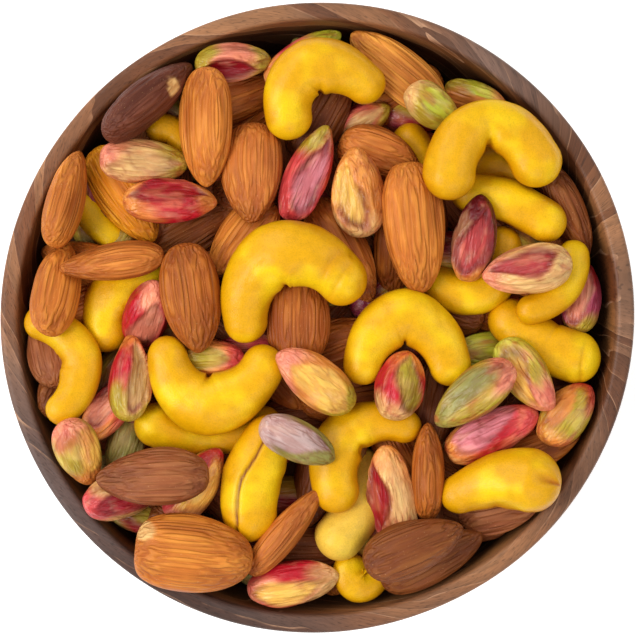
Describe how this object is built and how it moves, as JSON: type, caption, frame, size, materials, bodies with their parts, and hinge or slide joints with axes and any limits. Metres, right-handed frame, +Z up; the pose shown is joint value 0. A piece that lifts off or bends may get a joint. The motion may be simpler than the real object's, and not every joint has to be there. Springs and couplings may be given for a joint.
{
  "type": "bowl of mixed nuts",
  "caption": "Round dark wooden bowl heaped with almonds, yellow roasted cashews and shelled pistachio kernels.",
  "frame": {"origin": "middle of the bowl's flat foot, on the surface it stands on", "axes": "+Z up, out of the bowl's mouth; +Y towards the top edge of the picture and +X towards its right edge"},
  "size_m": [0.132, 0.1314, 0.0619],
  "materials": {
    "bowl_wood": "oiled satin, turned",
    "nuts": "mixed: matt almond skins, satin cashews and pistachio kernels"
  },
  "bodies": {
    "root": {"bowl": "bowl_wood", "nut_heap": "nuts"}
  },
  "joints": []
}
